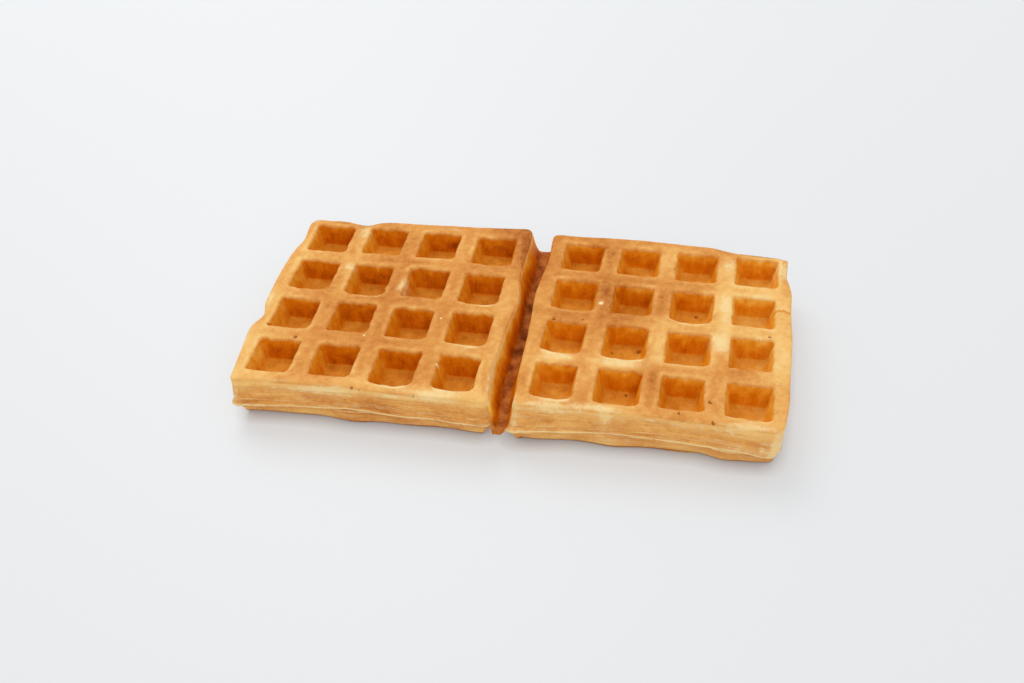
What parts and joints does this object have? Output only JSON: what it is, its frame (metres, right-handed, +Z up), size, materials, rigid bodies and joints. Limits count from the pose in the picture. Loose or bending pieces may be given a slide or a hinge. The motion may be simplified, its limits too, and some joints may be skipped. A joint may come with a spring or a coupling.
{
  "type": "belgian waffle",
  "caption": "Deep-pocketed golden Belgian waffle, two joined squares from a double iron, lying flat.",
  "frame": {"origin": "on the surface the waffle lies on, under the middle of its box", "axes": "+X along its length, from the left square to the right one; +Y towards its back edge; +Z up"},
  "size_m": [0.229, 0.1156, 0.023],
  "materials": {
    "crust": "matte"
  },
  "bodies": {
    "root": {"waffle": "crust"}
  },
  "joints": []
}
